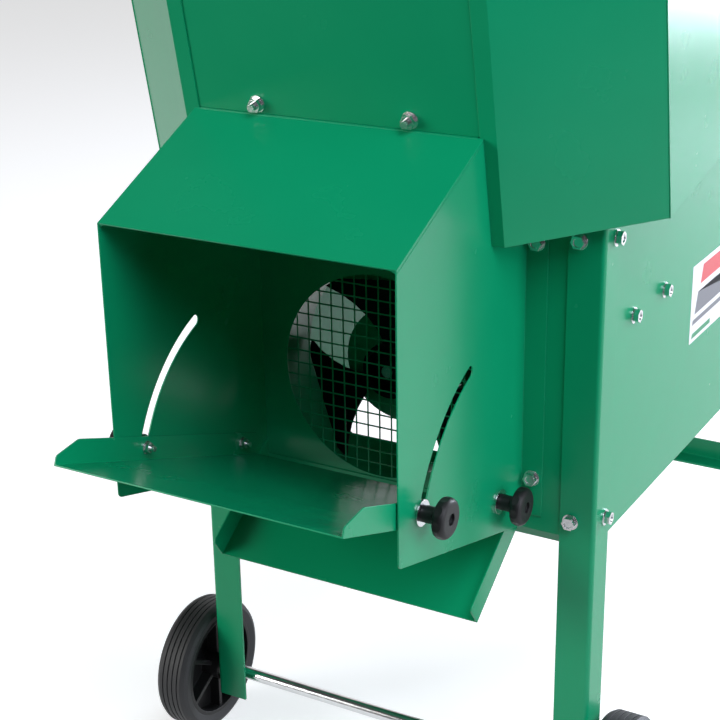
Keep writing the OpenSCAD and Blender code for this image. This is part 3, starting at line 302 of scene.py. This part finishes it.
def dress(slot, material):
    """Gives a material to every CAD node whose record slot has that name."""
    for part in frame["record"]["subparts"]:
        if part["material_slot"] == slot:
            dress_node(part["node"], material)


def add_piece(name, mesh, materials, body):
    """Links a finished mesh into the scene, gives it its materials and lets it ride on a body."""
    for material in materials:
        mesh.materials.append(material)
    piece = bpy.data.objects.new(name, mesh)
    bpy.context.scene.collection.objects.link(piece)
    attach(piece, body)
    return piece


class DressPaintedSteel(bpy.types.Operator):
    """Powder coat on every painted sheet, leg and casting"""

    bl_idname = "defoliator.painted_steel"
    bl_label = "Painted steel"

    def execute(self, context):
        dress("green_paint", powder_coat(context.scene.defoliator_finish))
        return {"FINISHED"}


class DressMetal(bpy.types.Operator):
    """Zinc plating and ground steel"""

    bl_idname = "defoliator.bare_metal"
    bl_label = "Bare metal"

    def execute(self, context):
        s = context.scene.defoliator_finish
        dress("zinc", finish("zinc_plate", tuple(s.zinc), 0.12, (0.12, 0.26), metallic=1.0, patch=90.0, edge=0.0003))
        dress("bright_steel", finish("ground_steel", (0.45, 0.45, 0.46), 0.15, (0.2, 0.35), metallic=1.0))
        return {"FINISHED"}


class DressPlastic(bpy.types.Operator):
    """Moulded plastic and rubber"""

    bl_idname = "defoliator.plastic_and_rubber"
    bl_label = "Plastic and rubber"

    def execute(self, context):
        # The black mouldings are painted lighter along their edges: painted highlight and wear
        dress("black_plastic", finish("black_moulding", (0.010, 0.010, 0.0105), 0.2, (0.38, 0.5), specular=0.3,
                                      bump=0.00005, grain=1500.0, wear=0.3, worn_colour=(0.05, 0.05, 0.05),
                                      edge=0.0015))
        dress_node("impeller", finish("impeller_black", (0.004, 0.0045, 0.0045), 0.2, (0.30, 0.40), specular=0.06))
        dress("grip_rubber", finish("grip_rubber", (0.02, 0.02, 0.02), 0.2, (0.6, 0.75), bump=0.0001))
        # The tyre is painted lighter grey along its edges: painted highlight and wear
        dress("tyre_rubber", finish("tyre_rubber", (0.022, 0.022, 0.024), 0.25, (0.5, 0.65), bump=0.0001,
                                    wear=0.3, worn_colour=(0.09, 0.09, 0.09)))
        dress("grey_plastic", finish("grey_moulding", (0.17, 0.18, 0.185), 0.1, (0.4, 0.5), grain=1500.0))
        dress("green_button", finish("green_button", (0.01, 0.32, 0.04), 0.1, (0.25, 0.35)))
        dress("red_button", finish("red_button", (0.5, 0.01, 0.008), 0.1, (0.25, 0.35)))
        return {"FINISHED"}


def wire_into(shape, start, end, radius, sides=10):
    """Adds a straight round wire between two points to a bmesh."""
    way = end - start
    turn = way.to_track_quat("Z", "Y").to_matrix().to_4x4()
    bmesh.ops.create_cone(
        shape, cap_ends=True, segments=sides, radius1=radius, radius2=radius, depth=way.length,
        matrix=Matrix.Translation((start + end) / 2) @ turn,
    )


class FitGuardWires(bpy.types.Operator):
    """Round crossing wires of the welded guard behind the front panel's opening"""

    bl_idname = "defoliator.guard_wires"
    bl_label = "Guard wires"

    def execute(self, context):
        s = context.scene.defoliator_guard
        low, high = (Vector(corner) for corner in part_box("mesh_guard"))
        centre = (low + high) / 2
        rim = (high.x - low.x) / 2 - s.wire / 2
        layer = (high.y - low.y - s.wire) / 2
        count = int(rim / s.pitch)
        shape = bmesh.new()
        for i in range(-count, count + 1):
            off = i * s.pitch
            reach = math.sqrt(rim * rim - off * off)
            for across, depth in ((Vector((1, 0, 0)), -layer), (Vector((0, 0, 1)), layer)):
                along = Vector((across.z, 0, across.x))
                middle = centre + across * off + Vector((0, depth, 0))
                wire_into(shape, middle - along * reach, middle + along * reach, s.wire / 2)
        turns = 96
        points = [
            centre + Vector((rim * math.cos(a), 0, rim * math.sin(a)))
            for a in (2 * math.pi * i / turns for i in range(turns))
        ]
        for i, point in enumerate(points):
            wire_into(shape, point, points[(i + 1) % turns], s.wire / 2, 8)
        mesh = bpy.data.meshes.new("guard_wires")
        shape.to_mesh(mesh)
        shape.free()
        coat = powder_coat(context.scene.defoliator_finish)
        piece = add_piece("guard_wires", mesh, [coat], "machine")
        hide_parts("mesh_guard")
        return {"FINISHED"}


def rounded_plate(width, height, radius, steps=6):
    """Corner points of a plate with rounded corners, counter-clockwise from the lower right."""
    points = []
    for turn, (x, y) in enumerate(((width - radius, radius), (width - radius, height - radius),
                                   (radius, height - radius), (radius, radius))):
        for i in range(steps + 1):
            angle = math.pi / 2 * (turn - 1 + i / steps)
            points.append((x + radius * math.cos(angle), y + radius * math.sin(angle)))
    return points


class PutLabel(bpy.types.Operator):
    """Plain white label with a red, a grey and a green band and no lettering"""

    bl_idname = "defoliator.side_label"
    bl_label = "Side label"

    def execute(self, context):
        s = context.scene.defoliator_label
        face_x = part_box("side_panel_right")[1][0]
        film, ink = 0.12 * MM, 0.03 * MM
        paper = finish("label_white", (0.80, 0.80, 0.80), 0.03, (0.30, 0.38), specular=0.3)
        grey = finish("label_grey", (0.16, 0.16, 0.18), 0.1, (0.30, 0.38), specular=0.3)
        red = finish("label_red", (0.66, 0.05, 0.06), 0.08, (0.30, 0.38), specular=0.3)
        green = finish("label_green", (0.01, 0.24, 0.09), 0.08, (0.30, 0.38), specular=0.3)
        margin, slant = 0.007, 0.35
        end = s.length - margin
        shape = bmesh.new()

        def lay(points, depth, lift, kind):
            faces = [
                [shape.verts.new((face_x + level, FRONT_Y + s.front + x, s.low + y)) for x, y in points]
                for level in (lift, lift + depth)
            ]
            shape.faces.new(list(reversed(faces[0]))).material_index = kind
            shape.faces.new(faces[1]).material_index = kind
            for i in range(len(points)):
                j = (i + 1) % len(points)
                shape.faces.new((faces[0][i], faces[0][j], faces[1][j], faces[1][i])).material_index = kind

        lay(rounded_plate(s.length, s.height, 0.0015), film, 0.0, 0)
        for left, right, low, high, kind in (
            (0.030, end, 0.068, 0.090, 2),
            (0.014, end, 0.034, 0.060, 1),
            (0.007, end, 0.022, 0.028, 1),
            (margin, 0.075, 0.005, 0.011, 3),
            (0.165, end, 0.005, 0.011, 2),
        ):
            lean = (high - low) * slant
            lay([(left, low), (right, low), (right, high), (left + lean, high)], ink, film, kind)
        bmesh.ops.recalc_face_normals(shape, faces=shape.faces)
        mesh = bpy.data.meshes.new("side_label")
        shape.to_mesh(mesh)
        shape.free()
        add_piece("side_label", mesh, [paper, grey, red, green], "machine")
        return {"FINISHED"}


class SetStage(bpy.types.Operator):
    """Floor, white surroundings, studio lights and camera"""

    bl_idname = "defoliator.stage"
    bl_label = "Stage"

    def execute(self, context):
        s = context.scene.defoliator_stage
        make_camera(context.scene, s)
        make_floor(s)
        make_world(context.scene, s)
        make_lights(s)
        context.scene.view_settings.view_transform = "Standard"
        return {"FINISHED"}


def math_node(nodes, links, action, first, second):
    """A math node of that action whose two inputs are sockets or plain numbers."""
    node = nodes.new("ShaderNodeMath")
    node.operation = action
    for socket, value in zip(node.inputs, (first, second)):
        if isinstance(value, float):
            socket.default_value = value
        else:
            links.new(value, socket)
    return node.outputs["Value"]


def rise_node(nodes, links, value, start, end, low, high):
    """A smooth rise from low to high while the value goes from start to end."""
    node = nodes.new("ShaderNodeMapRange")
    node.interpolation_type = "SMOOTHSTEP"
    for label, number in (("From Min", start), ("From Max", end), ("To Min", low), ("To Max", high)):
        node.inputs[label].default_value = number
    links.new(value, node.inputs["Value"])
    return node.outputs["Result"]


def make_floor(s):
    """A pale floor that keeps the shadow, is white to the eye and throws little light back from far in front."""
    mesh = bpy.data.meshes.new("floor")
    half = s.floor_side / 2
    mesh.from_pydata([(-half, -half, 0), (half, -half, 0), (half, half, 0), (-half, half, 0)], [], [(0, 1, 2, 3)])
    floor = bpy.data.objects.new("floor", mesh)
    bpy.context.scene.collection.objects.link(floor)
    material = bpy.data.materials.new("pale_floor")
    material.use_nodes = True
    nodes, links = material.node_tree.nodes, material.node_tree.links
    shader = nodes["Principled BSDF"]
    shader.inputs["Roughness"].default_value = 0.9
    shader.inputs["Specular IOR Level"].default_value = 0.0
    shader.inputs["Emission Color"].default_value = (1, 1, 1, 1)
    path = nodes.new("ShaderNodeLightPath")
    place = nodes.new("ShaderNodeTexCoord")
    axes = nodes.new("ShaderNodeSeparateXYZ")
    links.new(place.outputs["Object"], axes.inputs["Vector"])
    seen = math_node(nodes, links, "MAXIMUM", path.outputs["Is Camera Ray"], path.outputs["Is Transmission Ray"])
    near = rise_node(nodes, links, axes.outputs["Y"], FRONT_Y - 1.3, FRONT_Y - 0.3, 0.06, 1.0)
    mirrored = math_node(nodes, links, "MULTIPLY", path.outputs["Is Glossy Ray"], near)
    shown = math_node(nodes, links, "MAXIMUM", seen, mirrored)
    links.new(math_node(nodes, links, "MULTIPLY", shown, 0.52), shader.inputs["Emission Strength"])
    thrown = math_node(nodes, links, "MULTIPLY", near, s.floor_bounce)
    kept = math_node(nodes, links, "MAXIMUM", seen, thrown)
    tone = nodes.new("ShaderNodeMix")
    tone.data_type = "RGBA"
    tone.inputs["A"].default_value = (0, 0, 0, 1)
    tone.inputs["B"].default_value = (0.80, 0.80, 0.80, 1)
    links.new(kept, tone.inputs["Factor"])
    links.new(tone.outputs["Result"], shader.inputs["Base Color"])
    floor.data.materials.append(material)


def make_world(scene, s):
    """A soft surround: white to the camera; in reflections white behind the machine, dark in front and above."""
    world = bpy.data.worlds.new("studio")
    scene.world = world
    world.use_nodes = True
    nodes, links = world.node_tree.nodes, world.node_tree.links
    nodes.clear()
    out = nodes.new("ShaderNodeOutputWorld")
    way = nodes.new("ShaderNodeTexCoord")
    axes = nodes.new("ShaderNodeSeparateXYZ")
    path = nodes.new("ShaderNodeLightPath")
    links.new(way.outputs["Generated"], axes.inputs["Vector"])
    soft = rise_node(nodes, links, axes.outputs["Z"], 0.0, 1.0, s.low_light, s.top_light)
    raised = math_node(nodes, links, "MULTIPLY", axes.outputs["Z"], 0.6)
    backward = math_node(nodes, links, "SUBTRACT", axes.outputs["Y"], raised)
    mirrored = rise_node(nodes, links, backward, 0.0, 0.5, 0.06, 1.0)
    seen = math_node(nodes, links, "MAXIMUM", path.outputs["Is Camera Ray"], path.outputs["Is Transmission Ray"])
    strength = soft
    for chooser, level in ((path.outputs["Is Glossy Ray"], mirrored), (seen, 1.0)):
        mix = nodes.new("ShaderNodeMix")
        links.new(chooser, mix.inputs["Factor"])
        links.new(strength, mix.inputs["A"])
        if level is mirrored:
            links.new(level, mix.inputs["B"])
        else:
            mix.inputs["B"].default_value = level
        strength = mix.outputs["Result"]
    background = nodes.new("ShaderNodeBackground")
    background.inputs["Color"].default_value = (1, 1, 1, 1)
    links.new(strength, background.inputs["Strength"])
    links.new(background.outputs["Background"], out.inputs["Surface"])


def make_lights(s):
    """Four large soft lamps, each placed by its angle to the right of the front and its height in degrees."""
    middle = Vector((0, 0, 0.6))
    for name, turn, rise, share, colour in (
        ("front_left", -45, 10, 0.60, (1.0, 1.0, 0.97)),
        ("front_right", 45, 45, 0.50, (0.95, 1.0, 1.14)),
        ("right", 85, 15, 0.48, (0.95, 1.0, 1.12)),
        ("back_right", 157, 10, 1.05, (0.93, 1.0, 1.15)),
    ):
        azimuth, height = math.radians(turn), math.radians(rise)
        away = Vector((math.sin(azimuth) * math.cos(height), -math.cos(azimuth) * math.cos(height), math.sin(height)))
        light = bpy.data.lights.new(name, "AREA")
        light.size = s.lamp_range / 2
        light.energy = s.lamp_power * share
        light.color = colour
        lamp = bpy.data.objects.new(name, light)
        lamp.location = middle + away * s.lamp_range
        lamp.rotation_euler = away.to_track_quat("Z", "Y").to_euler()
        lamp.visible_camera = False
        bpy.context.scene.collection.objects.link(lamp)


def make_camera(scene, s):
    """The camera of the photograph, from its place, its angles and its lens."""
    ahead = Vector((-math.sin(s.yaw) * math.cos(s.pitch), math.cos(s.yaw) * math.cos(s.pitch), -math.sin(s.pitch)))
    level = Vector((math.cos(s.yaw), math.sin(s.yaw), 0))
    down = ahead.cross(level)
    right = math.cos(s.roll) * level + math.sin(s.roll) * down
    below = -math.sin(s.roll) * level + math.cos(s.roll) * down
    turn = Matrix((right, -below, -ahead)).transposed()
    data = bpy.data.cameras.new("camera")
    data.sensor_width = 36.0
    data.lens = s.lens
    camera = bpy.data.objects.new("camera", data)
    camera.matrix_world = Matrix.Translation(Vector(s.camera_place)) @ turn.to_4x4()
    scene.collection.objects.link(camera)
    scene.camera = camera


class DefoliatorPanel(bpy.types.Panel):
    """Lists the steps that dress the defoliator"""

    bl_idname = "VIEW3D_PT_defoliator"
    bl_label = "Defoliator"
    bl_space_type = "VIEW_3D"
    bl_region_type = "UI"
    bl_category = "Defoliator"

    def draw(self, context):
        for operator in OPERATORS:
            self.layout.operator(operator.bl_idname)


SETTINGS = {
    "defoliator_finish": FinishSettings,
    "defoliator_guard": GuardSettings,
    "defoliator_label": LabelSettings,
    "defoliator_stage": StageSettings,
}
OPERATORS = (SetStage, DressPaintedSteel, DressMetal, DressPlastic, FitGuardWires, PutLabel)
CLASSES = (*SETTINGS.values(), *OPERATORS, DefoliatorPanel)


def register():
    """Registers the settings, the operators and the panel."""
    for entry in CLASSES:
        bpy.utils.register_class(entry)
    for name, group in SETTINGS.items():
        setattr(bpy.types.Scene, name, bpy.props.PointerProperty(type=group))


def unregister():
    """Undoes register."""
    for name in SETTINGS:
        delattr(bpy.types.Scene, name)
    for entry in reversed(CLASSES):
        bpy.utils.unregister_class(entry)


def main():
    """Dresses the whole machine and sets its stage."""
    register()
    for operator in OPERATORS:
        group, action = operator.bl_idname.split(".")
        getattr(getattr(bpy.ops, group), action)()


if __name__ == "__main__":
    main()
